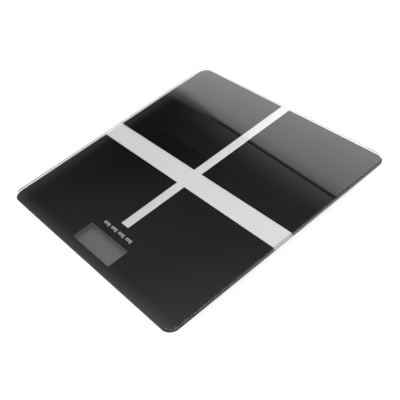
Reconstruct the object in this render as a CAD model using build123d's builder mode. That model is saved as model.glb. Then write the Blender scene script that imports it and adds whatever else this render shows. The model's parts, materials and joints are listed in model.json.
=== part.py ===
from build123d import *
import math
import os
from dataclasses import dataclass

# Digital bathroom scale, in millimetres. The origin is on the floor under the centre of the glass,
# +Z is up, +Y points to the display end and +X to the right of a person who stands on the glass
# and reads the display.

# ---------------------------------------------------------------- driving dimensions

platform_side = 300.0
glass_thickness = 5.0
glass_corner = 12.0
glass_arris = 0.5
total_height = 25.0

film = 0.2  # all the printed ink, drawn thick enough to be a solid
first_film = 0.1  # the silver and white inks, which the black is printed over
print_inset = 0.9  # clear border between the ink and the edge of the glass
print_x, print_y = -0.4, 0.3  # the ink's outline sits a little off the middle of the glass
wide_band_width, wide_band_y = 25.0, 1.5
narrow_band_width, narrow_band_end = 12.5, 92.5
window_length, window_width, window_y = 68.0, 26.0, 125.8

mark_groups, marks_in_group = 4, 4
mark_width, mark_pitch, mark_gap = 1.1, 2.6, 4.4
mark_height, first_mark_height = 3.4, 4.6  # the first mark of each group is taller
mark_row_x, mark_line_y = -1.5, 101.0

tape, tape_inset = 0.3, 0.2
wall = 2.0
shell_bottom = 6.0  # underside of the housings above the floor

housing_length, housing_width, housing_y = 130.0, 77.4, 104.7
housing_corner, housing_round = 8.0, 3.0
label_x, label_y = -14.0, 119.0
label_length, label_width, label_corner, label_thickness = 58.0, 24.0, 1.5, 0.15

cell_diameter, cell_length, cell_pitch = 10.5, 44.5, 12.0  # AAA cells
nub_diameter, nub_length, cell_round = 5.5, 1.0, 0.5
bay_length, bay_wall, bay_roof = 51.2, 1.5, 0.9
door_length, door_width, door_thickness = 59.4, 26.8, 1.6
tongue_reach, tongue_thickness = 1.3, 0.8
door_gap = 0.3
ridge_count, ridge_pitch, ridge_place = 5, 2.2, 9.0
ridge_length, ridge_width, ridge_depth = 18.0, 1.1, 0.6

board_length, board_width, board_thickness, board_bottom = 101.0, 41.0, 1.2, 10.4
board_x, board_y, board_corner = 2.5, 119.5, 1.5
screw_points = [(-45.0, 102.5), (50.0, 102.5), (-45.0, 137.0), (50.0, 137.0)]
screw_hole_radius, head_radius, head_height, head_round = 1.25, 2.0, 1.3, 0.5

button_x, button_y, button_diameter = 44.0, 121.0, 7.6
button_sink, button_flange, plunger_radius, plunger_length = 0.2, 1.3, 1.3, 1.0
switch_side, switch_height, switch_bore = 5.2, 1.2, 1.6
switch_leg_length, switch_leg_width, switch_leg_height, switch_leg_pitch = 1.2, 0.7, 0.3, 3.6

foot_x, foot_y = 113.5, 110.0
foot_radius, pad_radius, pad_thickness = 24.0, 20.0, 2.5
foot_travel = 0.6
beam_side, beam_thickness, beam_top = 30.0, 1.2, 15.6  # the load cell's steel plate

wire_diameter, wire_pitch, wire_level = 1.0, 1.35, 16.5
cover_width, cover_wall, cover_bottom = 7.0, 0.8, 15.0

# ---------------------------------------------------------------- worked out from them

glass_bottom = total_height - glass_thickness
film_bottom = glass_bottom - film
first_film_bottom = glass_bottom - first_film
print_side = platform_side - 2 * print_inset
shell_top = film_bottom - tape
floor_top = shell_bottom + wall
housing_rear = housing_y - housing_width / 2
board_top = board_bottom + board_thickness
foot_inner_radius = foot_radius - wall
beam_bottom = beam_top - beam_thickness


@dataclass
class Corner:
    """One foot: its place, and the heading of its leads towards the electronics, in degrees."""

    name: str
    x: float
    y: float
    entry: tuple

    @property
    def heading(self):
        return math.degrees(math.atan2(self.entry[1] - self.y, self.entry[0] - self.x))

    def plane(self, level, turn=0.0):
        """Plane at this height, centred on the foot, with x along the heading plus turn."""
        angle = math.radians(self.heading + turn)
        return Plane((self.x, self.y, level), x_dir=(math.cos(angle), math.sin(angle), 0))


rear_entry_x, rear_entry_y = 37.0, 76.0
corners = [
    Corner("front_left", -foot_x, foot_y, (-56.0, foot_y)),
    Corner("front_right", foot_x, foot_y, (60.5, foot_y)),
    Corner("rear_left", -foot_x, -foot_y, (-rear_entry_x, rear_entry_y)),
    Corner("rear_right", foot_x, -foot_y, (rear_entry_x, rear_entry_y)),
]

os.makedirs("parts", exist_ok=True)


def write(piece, name):
    """Label a finished piece and write it as its node's STEP file."""
    piece.label = name
    export_step(piece, f"parts/{name}.step")


# ---------------------------------------------------------------- glass and its printing

with BuildPart() as glass_platform:
    with BuildSketch(Plane.XY.offset(glass_bottom)):
        RectangleRounded(platform_side, platform_side, glass_corner)
    extrude(amount=glass_thickness)
    flat_faces = glass_platform.faces().sort_by(Axis.Z)
    chamfer(flat_faces[0].edges() + flat_faces[-1].edges(), length=glass_arris)
write(glass_platform.part, "glass_platform")


def draw_cross():
    """The silver cross: a wide band from side to side, a narrow one from the rear edge."""
    with Locations((print_x, wide_band_y)):
        Rectangle(print_side, wide_band_width)
    narrow_start = print_y - print_side / 2
    with Locations((0, (narrow_start + narrow_band_end) / 2)):
        Rectangle(narrow_band_width, narrow_band_end - narrow_start)


def draw_marks():
    """A row of graduation marks in groups, on one base line."""
    group_pitch = (marks_in_group - 1) * mark_pitch + mark_width + mark_gap
    row_length = mark_groups * group_pitch - mark_gap
    row_start = mark_row_x - (row_length - mark_width) / 2
    for group in range(mark_groups):
        for number in range(marks_in_group):
            height = mark_height if number else first_mark_height
            mark_x = row_start + group * group_pitch + number * mark_pitch
            with Locations((mark_x, mark_line_y + height / 2)):
                Rectangle(mark_width, height)


with BuildPart() as silver_print:
    with BuildSketch(Plane.XY.offset(first_film_bottom)):
        draw_cross()
    extrude(amount=first_film)
write(silver_print.part, "silver_print")

with BuildPart() as print_marks:
    with BuildSketch(Plane.XY.offset(first_film_bottom)):
        draw_marks()
    extrude(amount=first_film)
write(print_marks.part, "print_marks")

with BuildPart() as black_print:
    with BuildSketch(Plane.XY.offset(film_bottom)):
        with Locations((print_x, print_y)):
            RectangleRounded(print_side, print_side, glass_corner - print_inset)
        with Locations((0, window_y)):
            Rectangle(window_length, window_width, mode=Mode.SUBTRACT)
    extrude(amount=film)
    # room for the inks that it covers from behind
    with BuildSketch(Plane.XY.offset(first_film_bottom)):
        draw_cross()
        draw_marks()
    extrude(amount=first_film, mode=Mode.SUBTRACT)
write(black_print.part, "black_print")

# ---------------------------------------------------------------- electronics housing

bay_width = cell_pitch + cell_diameter + 1.0
bay_y = housing_rear + wall + bay_width / 2
bay_front = bay_y + bay_width / 2
bay_top = shell_top - bay_roof
seat_margin, seat_rise, seat_reach = 7.5, 1.6, 5.0
seat_length = bay_length + 2 * seat_margin
seat_top = floor_top + seat_rise
seat_front = bay_front + seat_reach
opening_length = door_length + 2 * door_gap
rear_setback = 1.2
opening_front = housing_rear + rear_setback + door_width + door_gap
tongue_play = 0.2
groove_bottom = shell_bottom + tongue_thickness - tongue_play
tab_length, tab_reach = 16.0, 1.2
notch_width, notch_bottom, notch_top = 4.6, 15.8, 17.5
notch_length, notch_past_entry = 26.0, 3.0
boss_radius, pilot_radius, pilot_depth = 2.75, 1.0, 0.9
tail_slot_width, tail_slot_bottom, tail_slot_height = 2.4, 14.0, 0.9
button_clearance, recess_reach, recess_floor = 0.3, 1.8, 1.2
overcut = 1.0  # how far a cut runs past the face it opens

with BuildPart() as electronics_housing:
    with BuildSketch(Plane.XY.offset(shell_bottom)):
        with Locations((0, housing_y)):
            RectangleRounded(housing_length, housing_width, housing_corner)
    extrude(amount=shell_top - shell_bottom)
    fillet(electronics_housing.faces().sort_by(Axis.Z)[0].edges(), radius=housing_round)
    # the hollow
    with BuildSketch(Plane.XY.offset(floor_top)):
        with Locations((0, housing_y)):
            RectangleRounded(
                housing_length - 2 * wall, housing_width - 2 * wall, housing_corner - wall
            )
    extrude(amount=shell_top - floor_top, mode=Mode.SUBTRACT)
    # the battery bay: walls up to its roof, and a thicker seat round its mouth
    with BuildSketch(Plane.XY.offset(floor_top)):
        with Locations((0, (housing_rear + wall + bay_front + bay_wall) / 2)):
            Rectangle(bay_length + 2 * bay_wall, bay_width + bay_wall)
    extrude(amount=shell_top - floor_top)
    with BuildSketch(Plane.XY.offset(floor_top)):
        with Locations((0, (housing_rear + wall + seat_front) / 2)):
            Rectangle(seat_length, seat_front - housing_rear - wall)
    extrude(amount=seat_top - floor_top)
    with BuildSketch(Plane.XY.offset(shell_bottom)):
        with Locations((0, bay_y)):
            Rectangle(bay_length, bay_width)
    extrude(amount=bay_top - shell_bottom, mode=Mode.SUBTRACT)
    # the door's opening, its two side grooves and the slot for its front tab
    opening_width = opening_front - housing_rear + overcut
    with BuildSketch(Plane.XY.offset(shell_bottom)):
        with Locations((0, opening_front - opening_width / 2)):
            Rectangle(opening_length, opening_width)
    extrude(amount=wall, mode=Mode.SUBTRACT)
    with BuildSketch(Plane.XY.offset(groove_bottom)):
        with Locations((0, opening_front - opening_width / 2)):
            Rectangle(opening_length + 2 * tongue_reach, opening_width)
        with Locations((0, opening_front + tab_reach / 2)):
            Rectangle(tab_length + 2 * door_gap, tab_reach + tongue_play)
    extrude(amount=tongue_thickness + 2 * tongue_play, mode=Mode.SUBTRACT)
    # slots in the bay's right end wall for the tails of its two separate contacts
    for cell_row in (-1, 1):
        with BuildSketch(Plane.XY.offset(tail_slot_bottom)):
            with Locations((bay_length / 2 + bay_wall / 2, bay_y + cell_row * cell_pitch / 2)):
                Rectangle(bay_wall + overcut, tail_slot_width)
        extrude(amount=tail_slot_height, mode=Mode.SUBTRACT)
    # bosses for the circuit board's screws
    with BuildSketch(Plane.XY.offset(floor_top)):
        with Locations(*screw_points):
            Circle(boss_radius)
    extrude(amount=board_bottom - floor_top)
    with BuildSketch(Plane.XY.offset(floor_top - pilot_depth)):
        with Locations(*screw_points):
            Circle(pilot_radius)
    extrude(amount=board_bottom - floor_top + pilot_depth, mode=Mode.SUBTRACT)
    # the unit button's hole, and the recess above it for its flange
    with BuildSketch(Plane.XY.offset(shell_bottom)):
        with Locations((button_x, button_y)):
            Circle(button_diameter / 2 + button_clearance)
    extrude(amount=wall, mode=Mode.SUBTRACT)
    with BuildSketch(Plane.XY.offset(shell_bottom + recess_floor)):
        with Locations((button_x, button_y)):
            Circle(button_diameter / 2 + recess_reach)
    extrude(amount=wall - recess_floor, mode=Mode.SUBTRACT)
    # a notch in the wall for the leads of each corner
    for corner in corners:
        lead_length = math.dist(corner.entry, (corner.x, corner.y))
        with BuildSketch(corner.plane(notch_bottom)):
            with Locations((lead_length + notch_past_entry - notch_length / 2, 0)):
                Rectangle(notch_length, notch_width)
        extrude(amount=notch_top - notch_bottom, mode=Mode.SUBTRACT)
write(electronics_housing.part, "electronics_housing")

with BuildPart() as housing_tape:
    with BuildSketch(Plane.XY.offset(shell_top)):
        with Locations((0, housing_y)):
            RectangleRounded(
                housing_length - 2 * tape_inset, housing_width - 2 * tape_inset, housing_corner - tape_inset
            )
            RectangleRounded(
                housing_length - 2 * wall, housing_width - 2 * wall, housing_corner - wall,
                mode=Mode.SUBTRACT,
            )
        with Locations((0, bay_y)):
            Rectangle(bay_length, bay_width + wall)
    extrude(amount=tape)
write(housing_tape.part, "housing_tape")

with BuildPart() as rating_label:
    with BuildSketch(Plane.XY.offset(shell_bottom - label_thickness)):
        with Locations((label_x, label_y)):
            RectangleRounded(label_length, label_width, label_corner)
    extrude(amount=label_thickness)
write(rating_label.part, "rating_label")

# ---------------------------------------------------------------- battery door and unit button

door_front = opening_front - door_gap
door_rear = door_front - door_width
door_round, tongue_setback = 1.4, 2.0

with BuildPart() as battery_door:
    with BuildSketch(Plane.XY.offset(shell_bottom)):
        with Locations((0, (door_front + door_rear) / 2)):
            Rectangle(door_length, door_width)
    extrude(amount=door_thickness)
    rear_edge = battery_door.faces().sort_by(Axis.Z)[0].edges().sort_by(Axis.Y)[0]
    fillet(rear_edge, radius=door_round)
    with BuildSketch(Plane.XY.offset(shell_bottom + tongue_thickness)):
        with Locations((0, (door_front + door_rear + tongue_setback) / 2)):
            Rectangle(door_length + 2 * (tongue_reach - tongue_play), door_width - tongue_setback)
        with Locations((0, door_front + tab_reach / 2 - tongue_play)):
            Rectangle(tab_length, tab_reach)
    extrude(amount=door_thickness - tongue_thickness)
    # finger ridges, sunk so that nothing stands below the housing
    with BuildSketch(Plane.XY.offset(shell_bottom)):
        with Locations((0, door_rear + ridge_place)):
            with GridLocations(0, ridge_pitch, 1, ridge_count):
                SlotOverall(ridge_length, ridge_width)
    extrude(amount=ridge_depth, mode=Mode.SUBTRACT)
write(battery_door.part, "battery_door")

flange_bottom = shell_bottom + recess_floor + 0.05
flange_top = board_bottom - switch_height + 0.3 - plunger_length

with BuildPart() as unit_button:
    with BuildSketch(Plane.XY.offset(shell_bottom + button_sink)):
        with Locations((button_x, button_y)):
            Circle(button_diameter / 2)
    extrude(amount=flange_top - shell_bottom - button_sink)
    fillet(unit_button.faces().sort_by(Axis.Z)[0].edges(), radius=0.4)
    with BuildSketch(Plane.XY.offset(flange_bottom)):
        with Locations((button_x, button_y)):
            Circle(button_diameter / 2 + button_flange)
    extrude(amount=flange_top - flange_bottom)
write(unit_button.part, "unit_button")

with BuildPart() as switch_plunger:
    with BuildSketch(Plane.XY.offset(flange_top)):
        with Locations((button_x, button_y)):
            Circle(plunger_radius)
    extrude(amount=plunger_length)
write(switch_plunger.part, "switch_plunger")

with BuildPart() as tact_switch:
    with BuildSketch(Plane.XY.offset(board_bottom - switch_height)):
        with Locations((button_x, button_y)):
            RectangleRounded(switch_side, switch_side, 0.5)
    extrude(amount=switch_height)
    with BuildSketch(Plane.XY.offset(board_bottom - switch_height)):
        with Locations((button_x, button_y)):
            Circle(switch_bore)
    extrude(amount=switch_height - 0.15, mode=Mode.SUBTRACT)
    with BuildSketch(Plane.XY.offset(board_bottom - switch_leg_height)):
        with Locations((button_x, button_y)):
            with GridLocations(switch_side + switch_leg_length - 0.2, switch_leg_pitch, 2, 2):
                Rectangle(switch_leg_length, switch_leg_width)
    extrude(amount=switch_leg_height)
write(tact_switch.part, "tact_switch")

# ---------------------------------------------------------------- display and circuit board

frame_length, frame_width = 74.0, 30.8
frame_top = shell_top + 0.1
panel_top, panel_plate, panel_length, panel_width = 15.0, 1.0, 70.0, 28.0
contact_ledge = 4.0
panel_play, window_margin = 0.6, 0.8
sight_length, sight_width = 64.0, 22.5
reflector_thickness, reflector_margin = 0.4, 2.0
strip_width, strip_place = 2.2, 1.7

with BuildPart() as lcd_frame:
    with BuildSketch(Plane.XY.offset(board_top)):
        with Locations((0, window_y)):
            Rectangle(frame_length, frame_width)
    extrude(amount=frame_top - board_top)
    with BuildSketch(Plane.XY.offset(board_top)):
        with Locations((0, window_y)):
            Rectangle(panel_length + panel_play, panel_width + panel_play)
    extrude(amount=panel_top - board_top, mode=Mode.SUBTRACT)
    # the sloping sides between the window in the print and the sight area of the LCD
    with BuildSketch(Plane.XY.offset(panel_top)):
        with Locations((0, window_y)):
            Rectangle(sight_length, sight_width)
    with BuildSketch(Plane.XY.offset(frame_top)):
        with Locations((0, window_y)):
            Rectangle(window_length + window_margin, window_width + window_margin)
    loft(mode=Mode.SUBTRACT)
write(lcd_frame.part, "lcd_frame")

with BuildPart() as lcd_panel:
    with BuildSketch(Plane.XY.offset(panel_top - panel_plate)):
        with Locations((0, window_y)):
            Rectangle(panel_length, panel_width)
    extrude(amount=panel_plate)
    with BuildSketch(Plane.XY.offset(panel_top - 2 * panel_plate)):
        with Locations((0, window_y + contact_ledge / 2)):
            Rectangle(panel_length, panel_width - contact_ledge)
    extrude(amount=panel_plate)
write(lcd_panel.part, "lcd_panel")

with BuildPart() as lcd_reflector:
    with BuildSketch(Plane.XY.offset(panel_top - 2 * panel_plate - reflector_thickness)):
        with Locations((0, window_y + contact_ledge / 2)):
            Rectangle(panel_length - 2 * reflector_margin, panel_width - contact_ledge - reflector_margin)
    extrude(amount=reflector_thickness)
write(lcd_reflector.part, "lcd_reflector")

with BuildPart() as zebra_strip:
    with BuildSketch(Plane.XY.offset(board_top)):
        with Locations((0, window_y - panel_width / 2 + strip_place)):
            Rectangle(panel_length - 3 * reflector_margin, strip_width)
    extrude(amount=panel_top - panel_plate - board_top)
write(zebra_strip.part, "zebra_strip")

with BuildPart() as circuit_board:
    with BuildSketch(Plane.XY.offset(board_bottom)):
        with Locations((board_x, board_y)):
            RectangleRounded(board_length, board_width, board_corner)
        with Locations(*screw_points):
            Circle(screw_hole_radius, mode=Mode.SUBTRACT)
    extrude(amount=board_thickness)
write(circuit_board.part, "circuit_board")

# an epoxy drop over the bare chip: a slice off the top of a large sphere
chip_x, chip_y, drop_radius, drop_height = -12.0, 105.0, 5.0, 1.4
sphere_radius = (drop_radius**2 + drop_height**2) / (2 * drop_height)
half_angle = math.asin(drop_radius / sphere_radius) / 2
half_way_x = chip_x + sphere_radius * math.sin(half_angle)
half_way_drop = sphere_radius * (1 - math.cos(half_angle))

with BuildPart() as chip_blob:
    with BuildSketch(Plane.XZ.offset(-chip_y)):
        with BuildLine():
            ThreePointArc(
                (chip_x, board_top + drop_height),
                (half_way_x, board_top + drop_height - half_way_drop),
                (chip_x + drop_radius, board_top),
            )
            Line((chip_x + drop_radius, board_top), (chip_x, board_top))
            Line((chip_x, board_top), (chip_x, board_top + drop_height))
        make_face()
    revolve(axis=Axis((chip_x, chip_y, 0), (0, 0, 1)))
write(chip_blob.part, "chip_blob")

resistor_x, resistor_length, resistor_width, resistor_pitch = 10.0, 1.6, 0.9, 4.5
capacitor_x, capacitor_length, capacitor_width, capacitor_pitch = -27.0, 3.0, 1.6, 5.5
component_y, component_height, row_pitch = 104.5, 0.7, 3.6
can_x, can_y, can_radius, can_height, can_pitch = 44.5, 127.5, 2.0, 4.5, 7.0

with BuildPart() as board_components:
    with BuildSketch(Plane.XY.offset(board_top)):
        with Locations((resistor_x, component_y)):
            with GridLocations(resistor_pitch, row_pitch, 6, 2):
                Rectangle(resistor_length, resistor_width)
        with Locations((capacitor_x, component_y)):
            with GridLocations(capacitor_pitch, row_pitch, 2, 2):
                Rectangle(capacitor_length, capacitor_width)
    extrude(amount=component_height)
    with BuildSketch(Plane.XY.offset(board_top)):
        with Locations((can_x, can_y)):
            with GridLocations(0, can_pitch, 1, 2):
                Circle(can_radius)
    extrude(amount=can_height)
write(board_components.part, "board_components")

screw_tip = floor_top - pilot_depth + 0.2
slot_length, slot_width, slot_depth = 2.4, 0.5, 0.6

with BuildPart() as board_screws:
    with BuildSketch(Plane.XY.offset(board_top)):
        with Locations(*screw_points):
            Circle(head_radius)
    extrude(amount=head_height)
    fillet(board_screws.faces().group_by(Axis.Z)[-1].edges(), radius=head_round)
    with BuildSketch(Plane.XY.offset(screw_tip)):
        with Locations(*screw_points):
            Circle(pilot_radius - 0.05)
    extrude(amount=board_top - screw_tip)
    with BuildSketch(Plane.XY.offset(board_top + head_height - slot_depth)):
        with Locations(*screw_points):
            Rectangle(slot_length, slot_width)
            Rectangle(slot_width, slot_length)
    extrude(amount=slot_depth, mode=Mode.SUBTRACT)
write(board_screws.part, "board_screws")

# ---------------------------------------------------------------- cells and contacts

cell_level = shell_bottom + door_thickness + 0.3 + cell_diameter / 2
plate_thickness, plate_width, plate_height = 0.4, 9.0, 9.6
spring_length, spring_radius, spring_wire, spring_turns = 4.4, 2.6, 0.6, 3
end_play = 0.05
bump_length = bay_length - 2 * plate_thickness - cell_length - spring_length - 2 * end_play
bump_radius, bump_taper = 2.4, 20.0
bridge_height, tail_length, tail_width, tail_level = 4.0, 2.6, 2.0, 14.45

# The near cell points to +X and the far one to -X, so each end of the bay has a spring and a bump.
cell_rows = {"battery_near": (bay_y - cell_pitch / 2, 1), "battery_far": (bay_y + cell_pitch / 2, -1)}

for name, (cell_y, points_to) in cell_rows.items():
    base_x = -points_to * (bay_length / 2 - plate_thickness - spring_length - end_play)
    with BuildPart() as battery:
        with BuildSketch(Plane((base_x, cell_y, cell_level), z_dir=(points_to, 0, 0))):
            Circle(cell_diameter / 2)
        extrude(amount=cell_length - nub_length)
        fillet(battery.faces().sort_by(Axis.X)[0].edges(), radius=cell_round)
        fillet(battery.faces().sort_by(Axis.X)[-1].edges(), radius=cell_round)
        nub_x = base_x + points_to * (cell_length - nub_length)
        with BuildSketch(Plane((nub_x, cell_y, cell_level), z_dir=(points_to, 0, 0))):
            Circle(nub_diameter / 2)
        extrude(amount=nub_length)
    write(battery.part, name)

with BuildPart() as contact_plates:
    for side in (-1, 1):
        plate_x = side * (bay_length / 2 - plate_thickness / 2)
        joined = side < 0
        for cell_y, points_to in cell_rows.values():
            with Locations((plate_x, cell_y, cell_level)):
                Box(plate_thickness, plate_width, plate_height)
            if points_to == side:
                bump_x = side * (bay_length / 2 - plate_thickness)
                with BuildSketch(Plane((bump_x, cell_y, cell_level), z_dir=(-side, 0, 0))):
                    Circle(bump_radius)
                extrude(amount=bump_length, taper=bump_taper)
            if not joined:
                with Locations((bay_length / 2 + tail_length / 2, cell_y, tail_level)):
                    Box(tail_length, tail_width, plate_thickness)
        if joined:
            with Locations((plate_x, bay_y, cell_level)):
                Box(plate_thickness, cell_pitch, bridge_height)
write(contact_plates.part, "contact_plates")

with BuildPart() as contact_springs:
    for cell_y, points_to in cell_rows.values():
        spring_x = -points_to * (bay_length / 2 - plate_thickness - spring_wire / 2 - end_play)
        turns_length = spring_length - spring_wire - end_play
        with BuildLine() as coil:
            Helix(
                pitch=turns_length / spring_turns,
                height=turns_length,
                radius=spring_radius,
                center=(spring_x, cell_y, cell_level),
                direction=(points_to, 0, 0),
            )
        coil_start = Plane(coil.line @ 0, z_dir=coil.line % 0)
        with BuildSketch(coil_start):
            Circle(spring_wire / 2)
        sweep(path=coil.line, is_frenet=True)
write(contact_springs.part, "contact_springs")


bend_share = 0.45


def arc_radius(before, corner_point, after):
    """The largest arc that two runs allow, which takes this share of the shorter one."""
    run_in = Vector(*corner_point) - Vector(*before)
    run_out = Vector(*after) - Vector(*corner_point)
    shorter = min(run_in.length, run_out.length)
    return bend_share * shorter / math.tan(math.radians(run_in.get_angle(run_out)) / 2)


def route_radii(points):
    return [arc_radius(*points[at - 1 : at + 2]) for at in range(1, len(points) - 1)]


lead_diameter = 1.2
lead_start_x = bay_length / 2 + tail_length + 0.3
lead_end_level = board_top + lead_diameter / 2 + 0.15
board_rear = board_y - board_width / 2
lead_routes = []
for cell_y, lead_x in ((bay_y - cell_pitch / 2, 34.5), (bay_y + cell_pitch / 2, 32.0)):
    lead_routes.append([
        (lead_start_x, cell_y, tail_level),
        (lead_x - 1.0, cell_y + 1.5, tail_level),
        (lead_x, cell_y + 7.0, tail_level),
        (lead_x - 2.0, board_rear - 3.0, tail_level),
        (lead_x - 2.5, board_rear + 3.0, lead_end_level),
    ])

with BuildPart() as battery_leads:
    for points in lead_routes:
        with BuildLine() as route:
            FilletPolyline(*points, radius=route_radii(points))
        with BuildSketch(Plane(route.line @ 0, z_dir=route.line % 0)):
            Circle(lead_diameter / 2)
        sweep(path=route.line)
write(battery_leads.part, "battery_leads")

# ---------------------------------------------------------------- the four feet

foot_round = 0.8
post_radius, post_place = 1.9, 12.75
rib_width, rib_length, rib_spacing = 1.2, 4.0, 20.0
rib_place = beam_side / 2 + 0.2 + rib_width / 2
rib_bottom = beam_bottom - 1.0
hook_reach, hook_gap = 0.5, 0.05
barb_count, barb_start, barb_width, barb_reach, barb_height, barb_bottom = 3, 60.0, 4.4, 1.4, 1.2, 8.0
skirt_radius, skirt_wall, skirt_top = 21.6, 1.5, 10.0
base_thickness, base_chamfer = 2.5, 0.5
base_top = pad_thickness + base_thickness
stiffener_count, stiffener_width, stiffener_height = 6, 1.2, 1.8
boss_foot_radius, boss_foot_height, boss_tip_radius = 3.4, 7.0, 2.2
beam_corner, beam_window, window_corner = 3.0, 21.0, 2.0
tongue_width, tongue_pad_radius = 7.0, 5.0
gauge_place, gauge_length, gauge_width, gauge_thickness = 6.8, 6.0, 5.0, 0.15
groove_radii, groove_width, groove_depth, pad_round = (7.0, 12.0, 17.0), 1.2, 0.7, 0.6
roof_bottom = shell_top - wall

for corner in corners:
    with BuildPart() as foot_housing:
        with BuildSketch(corner.plane(shell_bottom)):
            Circle(foot_radius)
        extrude(amount=shell_top - shell_bottom)
        fillet(foot_housing.faces().sort_by(Axis.Z)[0].edges(), radius=foot_round)
        with BuildSketch(corner.plane(shell_bottom)):
            Circle(foot_inner_radius)
        extrude(amount=roof_bottom - shell_bottom, mode=Mode.SUBTRACT)
        # posts that bear on the four corners of the load cell
        with BuildSketch(corner.plane(beam_top)):
            with GridLocations(2 * post_place, 2 * post_place, 2, 2):
                Circle(post_radius)
        extrude(amount=roof_bottom - beam_top)
        # ribs that keep the load cell from moving sideways
        for turn in (0, 90, 180, 270):
            with BuildSketch(corner.plane(rib_bottom, turn)):
                with Locations((rib_place, 0)):
                    with GridLocations(0, rib_spacing, 1, 2):
                        Rectangle(rib_width, rib_length)
            extrude(amount=roof_bottom - rib_bottom)
        # two hooks that hold it up against the posts
        for turn in (90, 270):
            with BuildSketch(corner.plane(rib_bottom, turn)):
                with Locations((rib_place, 0)):
                    Rectangle(rib_width, rib_length)
            extrude(amount=roof_bottom - rib_bottom)
            with BuildSketch(corner.plane(rib_bottom, turn)):
                with Locations((rib_place - (rib_width + hook_reach) / 2, 0)):
                    Rectangle(hook_reach, rib_length)
            extrude(amount=beam_bottom - rib_bottom - hook_gap)
        # barbs that keep the foot from dropping out
        with BuildSketch(corner.plane(barb_bottom)):
            with PolarLocations(foot_inner_radius - 0.4, barb_count, start_angle=barb_start):
                Rectangle(barb_reach, barb_width)
        extrude(amount=barb_height)
        # the notch where the leads come out
        with BuildSketch(corner.plane(notch_bottom)):
            with Locations((foot_radius - wall / 2, 0)):
                Rectangle(wall + 2 * overcut, notch_width)
        extrude(amount=notch_top - notch_bottom, mode=Mode.SUBTRACT)
    write(foot_housing.part, f"foot_housing_{corner.name}")

    with BuildPart() as load_cell:
        with BuildSketch(corner.plane(beam_bottom)):
            RectangleRounded(beam_side, beam_side, beam_corner)
            RectangleRounded(beam_window, beam_window, window_corner, mode=Mode.SUBTRACT)
            Circle(tongue_pad_radius)
            with Locations(((beam_window / 2 + overcut) / 2, 0)):
                Rectangle(beam_window / 2 + overcut, tongue_width)
        extrude(amount=beam_thickness)
    write(load_cell.part, f"load_cell_{corner.name}")

    with BuildPart() as strain_gauge:
        with BuildSketch(corner.plane(beam_top)):
            with Locations((gauge_place, 0)):
                Rectangle(gauge_length, gauge_width)
        extrude(amount=gauge_thickness)
    write(strain_gauge.part, f"strain_gauge_{corner.name}")

    with BuildPart() as foot_base:
        with BuildSketch(corner.plane(pad_thickness)):
            Circle(skirt_radius)
        extrude(amount=base_thickness)
        chamfer(foot_base.faces().sort_by(Axis.Z)[0].edges(), length=base_chamfer)
        with BuildSketch(corner.plane(base_top)):
            Circle(skirt_radius)
            Circle(skirt_radius - skirt_wall, mode=Mode.SUBTRACT)
        extrude(amount=skirt_top - base_top)
        # windows in the skirt, taller than the barbs by the foot's travel
        with BuildSketch(corner.plane(barb_bottom - foot_travel - 0.2)):
            with PolarLocations(skirt_radius - skirt_wall / 2, barb_count, start_angle=barb_start):
                Rectangle(skirt_wall + overcut, barb_width + 0.8)
        extrude(amount=barb_height + foot_travel + 0.25, mode=Mode.SUBTRACT)
        # stiffening ribs, and the boss under the load cell's tongue
        rib_reach = skirt_radius - skirt_wall / 2
        with BuildSketch(corner.plane(base_top)):
            with PolarLocations(rib_reach / 2, stiffener_count):
                Rectangle(rib_reach, stiffener_width)
        extrude(amount=stiffener_height)
        with BuildSketch(corner.plane(base_top)):
            Circle(boss_foot_radius)
        extrude(amount=boss_foot_height)
        with BuildSketch(corner.plane(base_top + boss_foot_height)):
            Circle(boss_tip_radius)
        extrude(amount=beam_bottom - base_top - boss_foot_height)
    write(foot_base.part, f"foot_base_{corner.name}")

    with BuildPart() as foot_pad:
        with BuildSketch(corner.plane(0)):
            Circle(pad_radius)
        extrude(amount=pad_thickness)
        fillet(foot_pad.faces().sort_by(Axis.Z)[0].edges(), radius=pad_round)
        for groove_radius in groove_radii:
            with BuildSketch(corner.plane(0)):
                Circle(groove_radius + groove_width / 2)
                Circle(groove_radius - groove_width / 2, mode=Mode.SUBTRACT)
            extrude(amount=groove_depth, mode=Mode.SUBTRACT)
    write(foot_pad.part, f"foot_pad_{corner.name}")

with BuildPart() as foot_tapes:
    with BuildSketch(Plane.XY.offset(shell_top)):
        with Locations(*[(corner.x, corner.y) for corner in corners]):
            Circle(foot_radius - 3 * tape_inset)
    extrude(amount=tape)
write(foot_tapes.part, "foot_tapes")

# ---------------------------------------------------------------- leads of the load cells

lead_start, land_reach = 6.0, 2.0
board_left = board_x - board_length / 2
board_right = board_x + board_length / 2
land_level = board_top + wire_diameter / 2 + 0.15


def lead_points(corner, shift):
    """Centre line of one lead of a corner, moved sideways by shift from the middle lead."""
    start = corner.plane(wire_level).from_local_coords((lead_start, 0, 0))
    entry_x, entry_y = corner.entry
    points = [tuple(start), (entry_x, entry_y, wire_level)]
    if entry_y == corner.y:
        board_edge = board_left if entry_x < 0 else board_right
        points.append((board_edge - math.copysign(land_reach, entry_x), entry_y, land_level))
        return [(x, y + shift, z) for x, y, z in points]
    points.append((entry_x, board_rear - 7.0, wire_level))
    points.append((entry_x, board_rear + land_reach + 0.5, land_level))
    return [(x + shift, y, z) for x, y, z in points]


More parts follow.
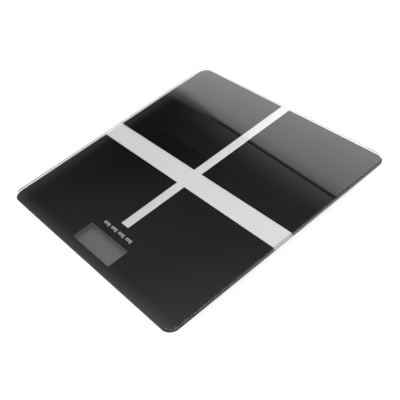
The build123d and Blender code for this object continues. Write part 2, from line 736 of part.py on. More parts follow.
for corner in corners:
    with BuildPart() as cell_wires:
        for number in (-1, 0, 1):
            points = lead_points(corner, number * wire_pitch)
            with BuildLine() as route:
                FilletPolyline(*points, radius=route_radii(points))
            with BuildSketch(Plane(route.line @ 0, z_dir=route.line % 0)):
                Circle(wire_diameter / 2)
            sweep(path=route.line)
    write(cell_wires.part, f"cell_wires_{corner.name}")

    # a channel, open to the glass, from the foot's wall to the housing's
    cover_start = foot_radius + 0.2
    cover_end = math.dist(corner.entry, (corner.x, corner.y))
    with BuildPart() as wire_cover:
        with BuildSketch(corner.plane(cover_bottom)):
            with Locations(((cover_start + cover_end) / 2, 0)):
                Rectangle(cover_end - cover_start, cover_width)
        extrude(amount=film_bottom - cover_bottom)
        with BuildSketch(corner.plane(cover_bottom + cover_wall)):
            with Locations(((cover_start + cover_end) / 2, 0)):
                Rectangle(cover_end - cover_start, cover_width - 2 * cover_wall)
        extrude(amount=film_bottom - cover_bottom - cover_wall, mode=Mode.SUBTRACT)
        with BuildSketch(Plane.XY.offset(cover_bottom)):
            with Locations((0, housing_y)):
                Rectangle(housing_length + tape_inset, housing_width + tape_inset)
        extrude(amount=film_bottom - cover_bottom, mode=Mode.SUBTRACT)
    write(wire_cover.part, f"wire_cover_{corner.name}")
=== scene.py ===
"""Digital bathroom scale: its glass, printing, display, housing and feet, with their finishes."""

import json
import math

import bmesh
import bpy
from bpy.props import FloatProperty, FloatVectorProperty, PointerProperty
from mathutils import Matrix, Vector


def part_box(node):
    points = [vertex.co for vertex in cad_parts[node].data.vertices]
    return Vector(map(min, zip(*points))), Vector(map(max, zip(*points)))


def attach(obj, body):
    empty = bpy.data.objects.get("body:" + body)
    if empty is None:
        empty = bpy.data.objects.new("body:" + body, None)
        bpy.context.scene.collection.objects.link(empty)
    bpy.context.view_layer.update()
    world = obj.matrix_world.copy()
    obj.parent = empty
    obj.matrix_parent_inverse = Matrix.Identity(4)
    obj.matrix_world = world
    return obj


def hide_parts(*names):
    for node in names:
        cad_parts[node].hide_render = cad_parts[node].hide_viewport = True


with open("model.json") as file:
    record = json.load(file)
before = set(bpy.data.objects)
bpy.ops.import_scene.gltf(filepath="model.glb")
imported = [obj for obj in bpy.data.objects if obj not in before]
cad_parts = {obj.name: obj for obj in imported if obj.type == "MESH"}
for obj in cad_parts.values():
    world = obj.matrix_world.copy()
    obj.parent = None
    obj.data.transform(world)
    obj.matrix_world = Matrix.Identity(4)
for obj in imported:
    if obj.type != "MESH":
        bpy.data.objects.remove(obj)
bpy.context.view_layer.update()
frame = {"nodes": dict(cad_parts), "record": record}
nodes = frame["nodes"]

bl_info = {
    "name": "Bathroom Scale",
    "version": (1, 0, 0),
    "blender": (4, 5, 0),
    "location": "3D View > Sidebar > Scale",
    "description": "Builds the pieces and finishes of a glass bathroom scale round its frame",
    "category": "Object",
}

CORNERS = ("front_left", "front_right", "rear_left", "rear_right")
LEAD_COLOURS = ("red", "white", "black")
SHARP_ANGLE = math.radians(30)
MERGE_DISTANCE = 1e-6
ALONG_X = 0
ALONG_Y = 1

# Places of the colour sockets on a Mix node, which has a set of sockets for each kind of value.
MIX_COLOUR_INPUTS = (0, 6, 7)
MIX_COLOUR_RESULT = 2

# Glass platform: segments of its rounded corners and rims, and the narrow inset that keeps its faces flat.
CORNER_SEGMENTS = 16
RIM_SEGMENTS = 6
INSET_SHARE = 0.1
LEVEL_TOLERANCE = 1e-7
GLASS_IOR = 1.52

# Distances from the middle of the scale, in metres: where painted shade, a grey tint along the rim of the
# glass, begins and where it is full, and where painted light on the ink begins towards the right and the
# front, full at the same place.
RIM_SHADE_START = 0.1482
RIM_SHADE_AND_LIGHT_END = 0.149
RIGHT_RIM_LIGHT_START = 0.125
FRONT_RIM_LIGHT_START = 0.132

# Finishes whose colours are fixed, as linear values.
WHITE_INK = (0.455, 0.455, 0.455)
TAPE_FOAM = (0.62, 0.62, 0.6)
CONDUCTIVE_RUBBER = (0.03, 0.03, 0.03)

# Moulded pieces: colour, roughness, scale of the grain and its depth in metres.
HOUSING_GRAIN = (0.46, 2200.0, 0.00003)
MOULDED = {
    "grey_button": ((0.17, 0.175, 0.18), 0.42, 2600.0, 0.00002),
    "grey_plastic": ((0.055, 0.055, 0.055), 0.5, 2600.0, 0.00002),
    "epoxy": ((0.006, 0.006, 0.006), 0.22, 300.0, 0.00005),
    "components": ((0.11, 0.075, 0.05), 0.4, 1500.0, 0.00001),
    "switch_plunger_plastic": ((0.02, 0.02, 0.02), 0.5, 2200.0, 0.00003),
    "red_lead": ((0.35, 0.012, 0.01), 0.38, 1200.0, 0.00001),
    "white_lead": ((0.6, 0.59, 0.57), 0.4, 1200.0, 0.00001),
    "black_lead": ((0.012, 0.012, 0.012), 0.38, 1200.0, 0.00001),
    "foot_plastic": ((0.006, 0.006, 0.006), 0.62, 2200.0, 0.00003),
    "gauge_foil": ((0.3, 0.11, 0.02), 0.35, 1800.0, 0.00001),
}

# Metals: colour, roughness, stretch of the fine lines and their scale.
METALS = {
    "reflector_film": ((0.6, 0.62, 0.6), 0.4, (1, 8, 1), 600.0),
    "screw_steel": ((0.6, 0.6, 0.6), 0.3, (1, 1, 1), 900.0),
    "switch_metal": ((0.66, 0.66, 0.66), 0.32, (1, 10, 1), 900.0),
    "nickel_steel": ((0.68, 0.66, 0.61), 0.25, (1, 6, 1), 900.0),
    "cell_steel": ((0.58, 0.58, 0.58), 0.3, (1, 14, 1), 900.0),
}

# Sleeve of a cell, from its far end to its button.
CELL_HALF_LENGTH = 0.0225
SLEEVE_STOPS = (
    (0.0, (0.55, 0.55, 0.54)),
    (0.03, (0.012, 0.03, 0.055)),
    (0.66, (0.42, 0.43, 0.44)),
    (0.72, (0.03, 0.12, 0.2)),
    (0.96, (0.6, 0.6, 0.58)),
)

# Floor.
FLOOR_HALF_SIDE = 12.0
FLOOR_LEVEL = -0.0001
FLOOR_GLOW = 0.88

# Light card, in metres. Its lit part ends on a slanting line that curls away from CURL_START on.
CARD_HALF_SIDE = 1.5
CARD_MIDDLE = (1.2, -2.22)
LINE_SLOPE = 0.0603
LINE_OFFSET = 0.8019
CURL_START = 1.48
CURL_RATE = 0.9
BLUR_GROWS = (1.25, 1.6)
BLUR = (0.006, 0.042)
LIT_DEPTH = 0.5
LIT_STOPS = ((0.0, 0.36), (0.1, 0.6), (0.28, 0.72), (0.42, 0.84), (1.0, 1.0))
FADES_ALONG_X = (1.75, 2.6)
FADES_ALONG_Y = (-2.6, -1.3)
FADED_LEVEL = 0.24

# Before the line come a dark rim, and then a faint glow and a fainter even light, both weaker to the right.
DARK_RIM = (0.006, 0.014)
GLOW_END = 0.11
GLOW_FALL = 1.6
GLOW_ALONG_X = (1.0, 1.48, 0.5, 0.05)
DUSK_ALONG_X = (0.8, 1.45, 0.27, 0.055)

# Surroundings: brightness by degrees above the horizon, then bands along an axis of the direction looked in,
# each with where it starts and ends and its level at both.
LIGHT_BY_ELEVATION = {
    -90: 1.6,
    -64: 1.2,
    -54: 0.35,
    -10: 0.1,
    0: 1.0,
    15: 1.0,
    30: 0.25,
    35: 0.06,
    38: 0.06,
    42: 0.22,
    46: 0.3,
    51: 0.65,
    60: 1.7,
    75: 3.0,
}
LEFT_DIM = (-0.75, -0.3, 0.12, 1.0)
FRONT_LIGHT = (-0.38, -0.10, 0.0, 0.2)
LOW_BAND_START = (-0.768, -0.748, 0.0, 1.0)
LOW_BAND_END = (-0.6, -0.45, 1.0, 0.0)
LOW_LEFT_LIGHT = (-0.45, -0.3, 2.0, 0.0)

SENSOR_WIDTH = 36.0
NEAREST_SEEN = 0.01


# ---------------------------------------------------------------- sizes and colours


class ScaleSizes(bpy.types.PropertyGroup):
    """Sizes of the details that are shaped here."""

    corner_radius: FloatProperty(
        name="Glass corner",
        description="Radius of the platform's corners",
        default=0.012,
        unit="LENGTH",
    )
    edge_radius: FloatProperty(
        name="Glass edge",
        description="Radius of the polished edge",
        default=0.0007,
        unit="LENGTH",
    )
    ink_overlap: FloatProperty(
        name="Ink overlap",
        description="How far the glass reaches into the ink",
        default=0.00005,
        unit="LENGTH",
    )


class ScaleColours(bpy.types.PropertyGroup):
    """Main colours, as linear values."""

    black_ink: FloatVectorProperty(
        name="Black ink",
        description="Ink behind the glass",
        default=(0.0022, 0.0022, 0.0023),
        subtype="COLOR",
    )
    silver_ink: FloatVectorProperty(
        name="Silver ink",
        description="Cross behind the glass",
        default=(0.502, 0.494, 0.502),
        subtype="COLOR",
    )
    plastic: FloatVectorProperty(
        name="Housing plastic",
        description="Moulded black plastic",
        default=(0.022, 0.022, 0.023),
        subtype="COLOR",
    )
    rubber: FloatVectorProperty(
        name="Pad rubber",
        description="Anti-slip rubber",
        default=(0.05, 0.05, 0.05),
        subtype="COLOR",
    )
    display: FloatVectorProperty(
        name="Display",
        description="Liquid crystal cell, switched off",
        default=(0.066, 0.066, 0.066),
        subtype="COLOR",
    )


class ScaleStudio(bpy.types.PropertyGroup):
    """Camera and light."""

    lens: FloatProperty(
        name="Lens",
        description="Focal length on a 36 mm sensor",
        default=69.2,
    )
    camera_place: FloatVectorProperty(
        name="Camera",
        description="Place of the camera",
        default=(-0.5665, 0.3112, 0.5743),
        subtype="XYZ",
    )
    camera_target: FloatVectorProperty(
        name="Target",
        description="Point at the centre of the view",
        default=(-0.03868, 0.0176, 0.025),
        subtype="XYZ",
    )
    camera_roll: FloatProperty(
        name="Roll",
        description="Turn of the camera about its view",
        default=math.radians(-16.19),
        subtype="ANGLE",
    )
    card_level: FloatProperty(
        name="Card height",
        description="Height of the light card",
        default=1.125,
        unit="LENGTH",
    )
    card_strength: FloatProperty(
        name="Card strength",
        description="Brightness of the card",
        default=4.1,
    )


# ---------------------------------------------------------------- materials


class Finish:
    """A material put together from one Principled shader and the pattern nodes that feed it."""

    def __init__(self, name, **values):
        self.material = bpy.data.materials.new(name)
        self.material.use_nodes = True
        self.tree = self.material.node_tree
        self.shader = next(n for n in self.tree.nodes if n.type == "BSDF_PRINCIPLED")
        self.place = self.tree.nodes.new("ShaderNodeTexCoord").outputs["Object"]
        for socket, value in values.items():
            self.surface(socket.replace("_", " ").title(), value)

    def feed(self, node, socket, value):
        """Link an output to a socket, or set the socket to a plain value."""
        socket = node.inputs[socket]
        if isinstance(value, bpy.types.NodeSocket):
            self.tree.links.new(value, socket)
        elif hasattr(value, "__len__") and len(value) == 3 and len(socket.default_value) == 4:
            socket.default_value = (*value, 1.0)
        else:
            socket.default_value = value

    def surface(self, socket, value):
        """Feed one of the shader's sockets."""
        self.feed(self.shader, socket, value)

    def node(self, kind, inputs=None, **settings):
        """A new node with its inputs and settings."""
        made = self.tree.nodes.new(kind)
        for key, value in settings.items():
            setattr(made, key, value)
        for socket, value in (inputs or {}).items():
            self.feed(made, socket, value)
        return made

    def noise(self, scale, detail=2.0, roughness=0.5, place=None, distortion=0.0):
        """Smooth random pattern, on Object coordinates if no others are given."""
        inputs = {
            "Vector": place or self.place,
            "Scale": scale,
            "Detail": detail,
            "Roughness": roughness,
            "Distortion": distortion,
        }
        return self.node("ShaderNodeTexNoise", inputs).outputs["Fac"]

    def cells(self, scale):
        """Distance to the nearest of many scattered points."""
        inputs = {"Vector": self.place, "Scale": scale}
        return self.node("ShaderNodeTexVoronoi", inputs).outputs["Distance"]

    def stretch(self, scale):
        """Object coordinates, stretched."""
        inputs = {"Vector": self.place, "Scale": scale}
        return self.node("ShaderNodeMapping", inputs).outputs["Vector"]

    def span(self, value, low, high, to_low=0.0, to_high=1.0):
        """Value carried from low..high to to_low..to_high, clamped."""
        limits = {"From Min": low, "From Max": high, "To Min": to_low, "To Max": to_high}
        inputs = {"Value": value, **limits}
        return self.node("ShaderNodeMapRange", inputs).outputs["Result"]

    def maths(self, first, second, operation="ADD"):
        """Two values put together by one operation."""
        made = self.node("ShaderNodeMath", operation=operation)
        self.feed(made, 0, first)
        self.feed(made, 1, second)
        return made.outputs[0]

    def mix(self, factor, first, second):
        """Colour between first and second."""
        made = self.node("ShaderNodeMix", data_type="RGBA")
        for socket, value in zip(MIX_COLOUR_INPUTS, (factor, first, second)):
            self.feed(made, socket, value)
        return made.outputs[MIX_COLOUR_RESULT]

    def axis(self, name):
        """One Object coordinate."""
        return self.node("ShaderNodeSeparateXYZ", {"Vector": self.place}).outputs[name]

    def bump(self, height, distance, strength):
        """Raise the surface by height times distance, in metres."""
        inputs = {"Height": height, "Distance": distance, "Strength": strength}
        self.surface("Normal", self.node("ShaderNodeBump", inputs).outputs["Normal"])


def set_stops(ramp, stops):
    """Give a new colour ramp its stops; it starts with two of them."""
    for number, (place, colour) in enumerate(stops):
        stop = ramp.elements[number] if number < 2 else ramp.elements.new(place)
        stop.position = place
        stop.color = (*colour, 1)


def shade(colour, factor):
    """A colour made darker or lighter."""
    return tuple(channel * factor for channel in colour[:3])


def clear_glass():
    """Float glass: a few wiped marks on its faces, and painted shade, a grey tint, along its outer rim."""
    made = Finish("clear_glass", Transmission_Weight=1.0)
    made.surface("IOR", GLASS_IOR)
    across = [made.maths(made.axis(name), 0.0, "ABSOLUTE") for name in ("X", "Y")]
    # Painted shade: the glass is tinted grey along its rim, standing in for the shade under the plate seen
    # through it.
    rim_shade = made.span(made.maths(*across, "MAXIMUM"), RIM_SHADE_START, RIM_SHADE_AND_LIGHT_END)
    made.surface("Base Color", made.mix(rim_shade, (0.985, 0.99, 0.987), (0.48, 0.495, 0.487)))
    smear = made.noise(38.0, detail=4.0, roughness=0.6, distortion=1.2)
    made.surface("Roughness", made.span(smear, 0.55, 0.8, 0.0, 0.012))
    return made.material


def ink(name, colour, grain, variation, rim_light=0.0):
    """Printed ink with the grain of its pigment; rim_light is the level of painted light it rises to towards
    the right and front rims.
    """
    made = Finish(name, Roughness=0.55)
    made.surface("Specular IOR Level", 0.0)
    fine = made.noise(grain, detail=2.0, roughness=0.7)
    tone = made.mix(fine, shade(colour, 1 - variation), shade(colour, 1 + variation))
    if rim_light:
        # Painted light: the ink turns lighter towards its right and front rims, up to the rim_light level.
        right = made.maths(made.span(made.axis("X"), RIGHT_RIM_LIGHT_START, RIM_SHADE_AND_LIGHT_END), 2.0, "POWER")
        front = made.maths(made.span(made.axis("Y"), FRONT_RIM_LIGHT_START, RIM_SHADE_AND_LIGHT_END), 2.0, "POWER")
        tone = made.mix(made.maths(right, front), tone, (rim_light,) * 3)
    made.surface("Base Color", tone)
    return made.material


def silver_ink(colour):
    """Metallic ink: flakes that catch the light in fine specks."""
    made = Finish("silver_ink", Roughness=0.42, Metallic=0.6)
    made.surface("Specular IOR Level", 0.2)
    flakes = made.cells(2600.0)
    fine = made.noise(1500.0, detail=3.0, roughness=0.7)
    grain = made.maths(flakes, fine, "MULTIPLY")
    made.surface("Base Color", made.mix(grain, shade(colour, 1.10), shade(colour, 0.82)))
    made.bump(fine, distance=0.00001, strength=0.4)
    return made.material


def moulded(name, colour, roughness, grain, depth):
    """Moulded plastic with a spark-eroded texture and slight differences in shine."""
    made = Finish(name)
    fine = made.noise(grain, detail=2.0, roughness=0.55)
    broad = made.noise(60.0, detail=3.0)
    made.surface("Base Color", made.mix(broad, shade(colour, 0.9), shade(colour, 1.15)))
    made.surface("Roughness", made.span(broad, 0.3, 0.7, roughness - 0.05, roughness + 0.06))
    made.bump(fine, distance=depth, strength=0.6)
    return made.material


def rubber(name, colour):
    """Anti-slip rubber, dusty where it meets the floor."""
    made = Finish(name)
    fine = made.noise(1600.0, detail=3.0, roughness=0.6)
    dust = made.noise(140.0, detail=4.0, roughness=0.6)
    worn = made.span(made.axis("Z"), 0.0002, 0.0012, 1.0, 0.0)
    dusty = made.maths(worn, made.span(dust, 0.42, 0.62), "MULTIPLY")
    made.surface("Base Color", made.mix(dusty, colour, shade(colour, 2.2)))
    made.surface("Roughness", made.span(dust, 0.2, 0.8, 0.68, 0.86))
    made.bump(fine, distance=0.00004, strength=0.6)
    return made.material


def steel(name, colour, roughness, along, grain):
    """Rolled or plated metal with fine lines, stretched along its length."""
    made = Finish(name, Metallic=1.0)
    lines = made.noise(grain, detail=3.0, roughness=0.6, place=made.stretch(along))
    stain = made.noise(90.0, detail=3.0)
    made.surface("Base Color", made.mix(stain, shade(colour, 0.88), shade(colour, 1.05)))
    made.surface("Roughness", made.span(lines, 0.3, 0.7, roughness - 0.06, roughness + 0.08))
    made.bump(lines, distance=0.000006, strength=0.5)
    return made.material


def solder_mask():
    """Green mask over copper tracks that run in straight lines."""
    made = Finish("board_laminate", Roughness=0.32)
    runs = {"Scale": 240.0, "Mortar Size": 0.06, "Brick Width": 1.1, "Row Height": 0.42}
    tracks = made.node("ShaderNodeTexBrick", {"Vector": made.place, **runs}).outputs["Fac"]
    weave = made.noise(900.0, detail=2.0)
    green = made.mix(weave, (0.008, 0.075, 0.024), (0.012, 0.095, 0.032))
    made.surface("Base Color", made.mix(tracks, green, (0.02, 0.15, 0.055)))
    made.bump(tracks, distance=0.00002, strength=0.5)
    return made.material


def cell_sleeve():
    """Shrink sleeve of a dry cell: a dark band, a bright band and bare ends."""
    made = Finish("cell_jacket", Roughness=0.3)
    along = made.axis("X")
    band = made.node("ShaderNodeValToRGB", {"Fac": made.span(along, -CELL_HALF_LENGTH, CELL_HALF_LENGTH)})
    band.color_ramp.interpolation = "CONSTANT"
    set_stops(band.color_ramp, SLEEVE_STOPS)
    made.surface("Base Color", band.outputs["Color"])
    made.bump(made.noise(700.0, detail=2.0), distance=0.00001, strength=0.3)
    return made.material


def display_cell(colour):
    """Liquid crystal cell: faint electrode lines under a satin polariser."""
    made = Finish("lcd_glass", Roughness=0.34)
    lines = made.node("ShaderNodeTexWave", {"Vector": made.place, "Scale": 520.0}).outputs["Fac"]
    cloud = made.noise(70.0, detail=2.0)
    base = made.mix(cloud, shade(colour, 0.97), shade(colour, 1.03))
    faint = made.span(lines, 0, 1, 0, 0.25)
    made.surface("Base Color", made.mix(faint, base, shade(colour, 0.9)))
    return made.material


def foam(name, colour):
    """Foam tape with small open cells at its cut edge."""
    made = Finish(name, Roughness=0.8)
    pores = made.cells(2500.0)
    made.surface("Base Color", made.mix(pores, shade(colour, 0.8), colour))
    made.bump(pores, distance=0.00003, strength=0.6)
    return made.material


def label_film():
    """Blank silver label with fine brushing."""
    made = Finish("label_foil", Metallic=0.55)
    lines = made.noise(420.0, detail=3.0, roughness=0.6, place=made.stretch((1.0, 22.0, 1.0)))
    made.surface("Base Color", made.mix(lines, (0.42, 0.43, 0.44), (0.56, 0.57, 0.58)))
    made.surface("Roughness", made.span(lines, 0.3, 0.7, 0.32, 0.44))
    return made.material


def make_finishes(colours):
    """Every material of the scale, by the record's slot, or by colour for the leads."""
    black_ink = tuple(colours.black_ink)
    made = {
        "clear_glass": clear_glass(),
        "black_ink": ink("black_ink", black_ink, grain=900.0, variation=0.12, rim_light=0.03),
        "silver_ink": silver_ink(tuple(colours.silver_ink)),
        "white_ink": ink("white_ink", WHITE_INK, grain=1500.0, variation=0.08),
        "black_abs": moulded("black_abs", tuple(colours.plastic), *HOUSING_GRAIN),
        "foam_tape": foam("foam_tape", TAPE_FOAM),
        "label_foil": label_film(),
        "lcd_glass": display_cell(tuple(colours.display)),
        "conductive_rubber": rubber("conductive_rubber", CONDUCTIVE_RUBBER),
        "board_laminate": solder_mask(),
        "cell_jacket": cell_sleeve(),
        "pad_rubber": rubber("pad_rubber", tuple(colours.rubber)),
    }
    made.update({name: moulded(name, *values) for name, values in MOULDED.items()})
    made.update({name: steel(name, *values) for name, values in METALS.items()})
    return made


finishes = {}


def paint(*names):
    """Give carried-over nodes the finish of their slots."""
    slots = {part["node"]: part["material_slot"] for part in frame["record"]["subparts"]}
    for name in names:
        materials = nodes[name].data.materials
        materials.clear()
        materials.append(finishes[slots[name]])


# ---------------------------------------------------------------- shaping


def new_piece(name, shape, body, slot_name, stands_for, finish=None):
    """Make an object from a bmesh in place of a node, riding on a body, in the slot's finish or another."""
    bmesh.ops.remove_doubles(shape, verts=shape.verts[:], dist=MERGE_DISTANCE)
    bmesh.ops.recalc_face_normals(shape, faces=shape.faces[:])
    for face in shape.faces:
        face.smooth = True
    for edge in shape.edges:
        edge.smooth = edge.calc_face_angle(0.0) < SHARP_ANGLE
    mesh = bpy.data.meshes.new(name)
    shape.to_mesh(mesh)
    shape.free()
    mesh.materials.append(finishes[finish or slot_name])
    piece = bpy.data.objects.new(name, mesh)
    bpy.context.scene.collection.objects.link(piece)
    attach(piece, body)
    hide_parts(stands_for)
    return piece


def middle(shape, axis):
    """Middle of a shape's extent along an axis."""
    places = [vert.co[axis] for vert in shape.verts]
    return (min(places) + max(places)) / 2


def separate_solids(node, axis):
    """A carried-over node's solids, each as a bmesh of its own, in order along an axis."""
    whole = bmesh.new()
    whole.from_mesh(nodes[node].data)
    bmesh.ops.remove_doubles(whole, verts=whole.verts[:], dist=MERGE_DISTANCE)
    whole.verts.index_update()
    solids = []
    waiting = set(whole.verts)
    while waiting:
        found = [waiting.pop()]
        for vert in found:
            joined = {edge.other_vert(vert) for edge in vert.link_edges} & waiting
            waiting -= joined
            found.extend(sorted(joined, key=lambda v: v.index))
        keep = {vert.index for vert in found}
        solid = whole.copy()
        solid.verts.index_update()
        others = [vert for vert in solid.verts if vert.index not in keep]
        bmesh.ops.delete(solid, geom=others, context="VERTS")
        solids.append(solid)
    whole.free()
    return sorted(solids, key=lambda solid: middle(solid, axis))


def add_leads(node, axis, colours, piece_names):
    """Leads of a carried-over node, each in insulation of its own colour."""
    solids = separate_solids(node, axis)
    if len(solids) != len(colours):
        raise RuntimeError(f"{node} has {len(solids)} leads, and {len(colours)} colours were given")
    for solid, colour, name in zip(solids, colours, piece_names):
        new_piece(name, solid, "platform", "lead_insulation", node, f"{colour}_lead")


def rounded_plate(low, high, corner, rim):
    """A plate between two corners of its box, with corners and rims rounded to their radii."""
    shape = bmesh.new()
    bmesh.ops.create_grid(shape, x_segments=1, y_segments=1, size=0.5)
    size = high - low
    centre = (low + high) / 2
    bmesh.ops.scale(shape, vec=(size.x, size.y, 1), verts=shape.verts[:])
    bmesh.ops.translate(shape, vec=(centre.x, centre.y, low.z), verts=shape.verts[:])
    rounding = {"offset_type": "OFFSET", "profile": 0.5, "material": -1}
    bmesh.ops.bevel(
        shape, geom=shape.verts[:], offset=corner, affect="VERTICES", segments=CORNER_SEGMENTS, **rounding
    )
    raised = bmesh.ops.extrude_face_region(shape, geom=shape.faces[:])
    top = [item for item in raised["geom"] if isinstance(item, bmesh.types.BMVert)]
    bmesh.ops.translate(shape, vec=(0, 0, size.z), verts=top)
    level = [edge for edge in shape.edges if abs(edge.verts[0].co.z - edge.verts[1].co.z) < LEVEL_TOLERANCE]
    bmesh.ops.bevel(shape, geom=level, offset=rim, affect="EDGES", segments=RIM_SEGMENTS, **rounding)
    flats = [face for face in shape.faces if len(face.verts) > 4]
    bmesh.ops.inset_individual(shape, faces=flats, thickness=rim * INSET_SHARE, use_even_offset=True)
    return shape


# ---------------------------------------------------------------- pieces


class SCALE_OT_glass_platform(bpy.types.Operator):
    """Shape the glass, with its rounded edges and corners; its finish tints the rim with painted shade"""

    bl_idname = "scale.glass_platform"
    bl_label = "Glass Platform"

    def execute(self, context):
        sizes = context.scene.scale_sizes
        low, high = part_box("glass_platform")
        low.z -= sizes.ink_overlap
        shape = rounded_plate(low, high, sizes.corner_radius, sizes.edge_radius)
        glass = new_piece("glass_plate", shape, "platform", "clear_glass", "glass_platform")
        glass.visible_shadow = False
        glass.visible_diffuse = False
        return {"FINISHED"}


class SCALE_OT_printing(bpy.types.Operator):
    """Finish the ink layers behind the glass"""

    bl_idname = "scale.printing"
    bl_label = "Printing"

    def execute(self, context):
        paint("black_print", "silver_print", "print_marks")
        return {"FINISHED"}


class SCALE_OT_display(bpy.types.Operator):
    """Finish the display: its frame, its cell and what lies behind it"""

    bl_idname = "scale.display"
    bl_label = "Display"

    def execute(self, context):
        paint("lcd_frame", "lcd_panel", "lcd_reflector", "zebra_strip")
        return {"FINISHED"}


class SCALE_OT_electronics(bpy.types.Operator):
    """Finish the circuit board and what is on it"""

    bl_idname = "scale.electronics"
    bl_label = "Electronics"

    def execute(self, context):
        paint("circuit_board", "chip_blob", "board_components", "board_screws")
        paint("tact_switch", "switch_plunger")
        return {"FINISHED"}


class SCALE_OT_housing(bpy.types.Operator):
    """Finish the housing, its tape, its label, the battery door and the unit button"""

    bl_idname = "scale.housing"
    bl_label = "Housing"

    def execute(self, context):
        paint("electronics_housing", "housing_tape", "rating_label", "battery_door", "unit_button")
        return {"FINISHED"}


class SCALE_OT_power(bpy.types.Operator):
    """Finish the cells, their contacts and leads"""

    bl_idname = "scale.power"
    bl_label = "Power"

    def execute(self, context):
        paint("battery_near", "battery_far", "contact_springs", "contact_plates")
        add_leads("battery_leads", ALONG_Y, ("black", "red"), ("battery_lead_black", "battery_lead_red"))
        return {"FINISHED"}


class SCALE_OT_feet(bpy.types.Operator):
    """Finish the four feet and their load cells"""

    bl_idname = "scale.feet"
    bl_label = "Feet"

    def execute(self, context):
        paint("foot_tapes")
        for corner in CORNERS:
            paint(f"foot_housing_{corner}", f"foot_base_{corner}", f"foot_pad_{corner}")
            paint(f"load_cell_{corner}", f"strain_gauge_{corner}", f"wire_cover_{corner}")
            across = ALONG_X if corner.startswith("rear") else ALONG_Y
            names = [f"cell_lead_{colour}_{corner}" for colour in LEAD_COLOURS]
            add_leads(f"cell_wires_{corner}", across, LEAD_COLOURS, names)
        return {"FINISHED"}


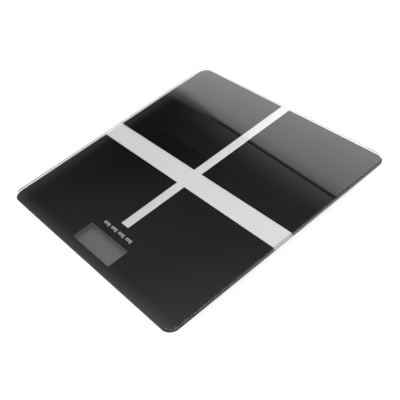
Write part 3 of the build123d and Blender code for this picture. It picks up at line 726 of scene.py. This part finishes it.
class SCALE_OT_studio(bpy.types.Operator):
    """Set up the floor, the light card, the surroundings and the camera"""

    bl_idname = "scale.studio"
    bl_label = "Studio"

    def execute(self, context):
        settings = context.scene.scale_studio
        context.scene.view_settings.view_transform = "Standard"
        self.add_floor()
        self.add_card(settings)
        self.add_surroundings(context.scene)
        self.add_camera(context.scene, settings)
        return {"FINISHED"}

    def add_stage(self, name, half_side, place, material):
        """A flat square that isn't part of the scale."""
        shape = bmesh.new()
        bmesh.ops.create_grid(shape, x_segments=1, y_segments=1, size=half_side)
        bmesh.ops.translate(shape, vec=place, verts=shape.verts[:])
        mesh = bpy.data.meshes.new(name)
        shape.to_mesh(mesh)
        shape.free()
        mesh.materials.append(material)
        made = bpy.data.objects.new(name, mesh)
        bpy.context.scene.collection.objects.link(made)
        return made

    def add_floor(self):
        """A plain white floor that is bright enough to stay white, and clear when seen from beneath."""
        made = Finish("floor_white", Base_Color=(0.8, 0.8, 0.8), Roughness=0.9)
        made.surface("Specular IOR Level", 0.1)
        made.surface("Emission Color", (1, 1, 1))
        made.surface("Emission Strength", FLOOR_GLOW)
        beneath = made.node("ShaderNodeNewGeometry").outputs["Backfacing"]
        made.surface("Alpha", made.maths(1.0, beneath, "SUBTRACT"))
        floor = self.add_stage("floor", FLOOR_HALF_SIDE, (0, 0, FLOOR_LEVEL), made.material)
        floor.visible_glossy = False

    def add_card(self, settings):
        """A glowing card over the far side, seen only where the glass mirrors it."""
        made = Finish("card_light", Base_Color=(0.0, 0.0, 0.0), Roughness=1.0)
        made.surface("Emission Color", (1, 1, 1))
        x, y = made.axis("X"), made.axis("Y")
        line = made.maths(made.maths(x, LINE_SLOPE, "MULTIPLY"), LINE_OFFSET)
        past_start = made.maths(made.maths(x, CURL_START, "SUBTRACT"), 0.0, "MAXIMUM")
        curl = made.maths(made.maths(past_start, 2.0, "POWER"), CURL_RATE, "MULTIPLY")
        before = made.maths(made.maths(y, line), curl, "SUBTRACT")
        lit = self.lit_part(made, x, y, before, settings.card_strength)
        rim = made.span(before, *DARK_RIM)
        glow = made.maths(made.span(before, DARK_RIM[1], GLOW_END, 1.0, 0.0), GLOW_FALL, "POWER")
        glow = made.maths(made.maths(glow, rim, "MULTIPLY"), made.span(x, *GLOW_ALONG_X), "MULTIPLY")
        dusk = made.maths(made.span(x, *DUSK_ALONG_X), rim, "MULTIPLY")
        made.surface("Emission Strength", made.maths(made.maths(lit, glow), dusk))
        place = (*CARD_MIDDLE, settings.card_level)
        card = self.add_stage("light_card", CARD_HALF_SIDE, place, made.material)
        card.visible_camera = False

    def lit_part(self, made, x, y, before, strength):
        """Light of the card's lit part: soft at its line, brighter further in, and faded far off."""
        blur = made.span(x, *BLUR_GROWS, *BLUR)
        lit = made.maths(made.maths(made.maths(before, blur, "DIVIDE"), -0.5, "MULTIPLY"), 0.5)
        lit = made.node("ShaderNodeClamp", {"Value": lit}).outputs[0]
        rise = made.node("ShaderNodeValToRGB", {"Fac": made.span(before, 0.0, -LIT_DEPTH)})
        set_stops(rise.color_ramp, [(place, (light,) * 3) for place, light in LIT_STOPS])
        light = made.maths(made.maths(lit, rise.outputs["Color"], "MULTIPLY"), strength, "MULTIPLY")
        faded_x = made.span(x, *FADES_ALONG_X, 1.0, FADED_LEVEL)
        faded_y = made.span(y, *FADES_ALONG_Y, FADED_LEVEL, 1.0)
        return made.maths(light, made.maths(faded_x, faded_y, "MINIMUM"), "MULTIPLY")

    def add_surroundings(self, scene):
        """Soft light from all round: white at the horizon, dim above it, bright overhead."""
        world = bpy.data.worlds.new("surroundings")
        world.use_nodes = True
        scene.world = world
        tree = world.node_tree
        background = next(n for n in tree.nodes if n.type == "BACKGROUND")
        place = tree.nodes.new("ShaderNodeTexCoord")
        split = tree.nodes.new("ShaderNodeSeparateXYZ")
        tree.links.new(place.outputs["Generated"], split.inputs[0])
        brightest = max(LIGHT_BY_ELEVATION.values())

        def carried(axis, limits, share=1.0, interpolation="SMOOTHSTEP"):
            """A direction's coordinate carried from two places to two levels, which are divided by share."""
            low, high, to_low, to_high = limits
            made = tree.nodes.new("ShaderNodeMapRange")
            made.interpolation_type = interpolation
            tree.links.new(split.outputs[axis], made.inputs["Value"])
            made.inputs["From Min"].default_value = low
            made.inputs["From Max"].default_value = high
            made.inputs["To Min"].default_value = to_low / share
            made.inputs["To Max"].default_value = to_high / share
            return made.outputs["Result"]

        def combined(operation, first, second):
            """Two levels added or multiplied."""
            made = tree.nodes.new("ShaderNodeVectorMath")
            made.operation = operation
            tree.links.new(first, made.inputs[0])
            tree.links.new(second, made.inputs[1])
            return made.outputs["Vector"]

        ramp = tree.nodes.new("ShaderNodeValToRGB")
        tree.links.new(carried("Z", (-1.0, 1.0, 0.0, 1.0), interpolation="LINEAR"), ramp.inputs["Fac"])
        stops = []
        for elevation, light in LIGHT_BY_ELEVATION.items():
            height = (math.sin(math.radians(elevation)) + 1) / 2
            stops.append((height, (light / brightest,) * 3))
        set_stops(ramp.color_ramp, stops)
        total = combined("MULTIPLY", ramp.outputs["Color"], carried("X", LEFT_DIM))
        total = combined("ADD", total, carried("Y", FRONT_LIGHT, brightest))
        low_band = combined("MULTIPLY", carried("Z", LOW_BAND_START), carried("Z", LOW_BAND_END))
        low_left = combined("MULTIPLY", low_band, carried("X", LOW_LEFT_LIGHT, brightest))
        total = combined("ADD", total, low_left)
        tree.links.new(total, background.inputs["Color"])
        background.inputs["Strength"].default_value = brightest

    def add_camera(self, scene, settings):
        """The camera, facing its target and turned about its view."""
        camera = bpy.data.cameras.new("camera")
        camera.lens = settings.lens
        camera.sensor_width = SENSOR_WIDTH
        camera.clip_start = NEAREST_SEEN
        holder = bpy.data.objects.new("camera", camera)
        scene.collection.objects.link(holder)
        place = Vector(settings.camera_place)
        facing = (Vector(settings.camera_target) - place).to_track_quat("-Z", "Y").to_matrix().to_4x4()
        roll = Matrix.Rotation(settings.camera_roll, 4, "Z")
        holder.matrix_world = Matrix.Translation(place) @ facing @ roll
        scene.camera = holder


class SCALE_PT_panel(bpy.types.Panel):
    """Lists the steps that build the scale"""

    bl_idname = "SCALE_PT_panel"
    bl_label = "Bathroom Scale"
    bl_space_type = "VIEW_3D"
    bl_region_type = "UI"
    bl_category = "Scale"

    def draw(self, context):
        for step in STEPS:
            self.layout.operator(step.bl_idname)
        for group in (context.scene.scale_sizes, context.scene.scale_colours, context.scene.scale_studio):
            box = self.layout.box()
            for name in group.__annotations__:
                box.prop(group, name)


STEPS = (
    SCALE_OT_studio,
    SCALE_OT_glass_platform,
    SCALE_OT_printing,
    SCALE_OT_display,
    SCALE_OT_electronics,
    SCALE_OT_housing,
    SCALE_OT_power,
    SCALE_OT_feet,
)
GROUPS = {"scale_sizes": ScaleSizes, "scale_colours": ScaleColours, "scale_studio": ScaleStudio}


def register():
    for group in GROUPS.values():
        bpy.utils.register_class(group)
    for step in (*STEPS, SCALE_PT_panel):
        bpy.utils.register_class(step)
    for name, group in GROUPS.items():
        setattr(bpy.types.Scene, name, PointerProperty(type=group))


def unregister():
    for name in GROUPS:
        delattr(bpy.types.Scene, name)
    for made in (SCALE_PT_panel, *reversed(STEPS), *reversed(list(GROUPS.values()))):
        bpy.utils.unregister_class(made)


def main():
    register()
    finishes.update(make_finishes(bpy.context.scene.scale_colours))
    bpy.ops.scale.studio()
    bpy.ops.scale.glass_platform()
    bpy.ops.scale.printing()
    bpy.ops.scale.display()
    bpy.ops.scale.electronics()
    bpy.ops.scale.housing()
    bpy.ops.scale.power()
    bpy.ops.scale.feet()


if __name__ == "__main__":
    main()
